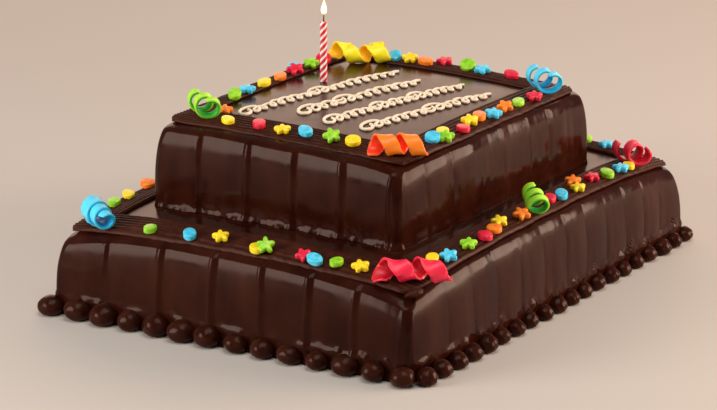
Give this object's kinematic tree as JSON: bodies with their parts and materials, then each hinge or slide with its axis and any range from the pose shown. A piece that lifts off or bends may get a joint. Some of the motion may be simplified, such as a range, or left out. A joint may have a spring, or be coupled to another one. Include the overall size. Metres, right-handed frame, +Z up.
{
  "type": "birthday cake with candles",
  "caption": "Tiered rectangular birthday cake in dark chocolate icing, with ribbed ribbon edges, a piped bead border, candy curls and confetti, cream scrollwork and a lit striped candle.",
  "frame": {"origin": "centre of the whole cake's footprint, at the level of its flat underside", "axes": "+Z up; +X along the long side; -Y faces out of the long side that the cream scrollwork is read from"},
  "size_m": [0.4466, 0.349, 0.2116],
  "materials": {
    "bead_icing": "glossy",
    "blue_candy": "satin",
    "candle_wax": "satin",
    "cream_piping": "satin",
    "flame_glow": "glowing",
    "green_candy": "satin",
    "lower_icing": "glossy",
    "lower_ribbon_icing": "satin",
    "orange_candy": "satin",
    "red_candy": "satin",
    "upper_icing": "glossy",
    "upper_ribbon_icing": "satin",
    "wick_cord": "matte",
    "yellow_candy": "satin"
  },
  "bodies": {
    "root": {"beads_back": "bead_icing", "beads_front": "bead_icing", "beads_left": "bead_icing", "beads_right": "bead_icing", "candle": "candle_wax", "candy_disc_06": "yellow_candy", "candy_disc_14": "red_candy", "candy_disc_19": "green_candy", "candy_disc_30": "blue_candy", "candy_oval_01": "yellow_candy", "candy_oval_02": "red_candy", "candy_oval_04": "blue_candy", "candy_oval_08": "green_candy", "candy_oval_10": "yellow_candy", "candy_oval_11": "orange_candy", "candy_oval_15": "blue_candy", "candy_oval_17": "orange_candy", "candy_oval_21": "red_candy", "candy_oval_23": "green_candy", "candy_oval_26": "orange_candy", "candy_oval_28": "red_candy", "candy_oval_29": "yellow_candy", "candy_star_03": "yellow_candy", "candy_star_05": "green_candy", "candy_star_07": "orange_candy", "candy_star_09": "blue_candy", "candy_star_12": "red_candy", "candy_star_13": "green_candy", "candy_star_16": "yellow_candy", "candy_star_18": "red_candy", "candy_star_20": "blue_candy", "candy_star_22": "red_candy", "candy_star_24": "orange_candy", "candy_star_25": "blue_candy", "candy_star_27": "yellow_candy", "curl_lower_back": "yellow_candy", "curl_lower_front": "red_candy", "curl_lower_left": "blue_candy", "curl_lower_middle": "green_candy", "curl_lower_right": "red_candy", "curl_upper_back": "yellow_candy", "curl_upper_front": "orange_candy", "curl_upper_left": "green_candy", "curl_upper_right": "blue_candy", "flame": "flame_glow", "lower_ribbon_back": "lower_ribbon_icing", "lower_ribbon_front": "lower_ribbon_icing", "lower_ribbon_left": "lower_ribbon_icing", "lower_ribbon_right": "lower_ribbon_icing", "lower_tier": "lower_icing", "scroll_1": "cream_piping", "scroll_2": "cream_piping", "scroll_3": "cream_piping", "scroll_4": "cream_piping", "upper_ribbon_back": "upper_ribbon_icing", "upper_ribbon_front": "upper_ribbon_icing", "upper_ribbon_left": "upper_ribbon_icing", "upper_ribbon_right": "upper_ribbon_icing", "upper_tier": "upper_icing", "wick": "wick_cord"}
  },
  "joints": []
}
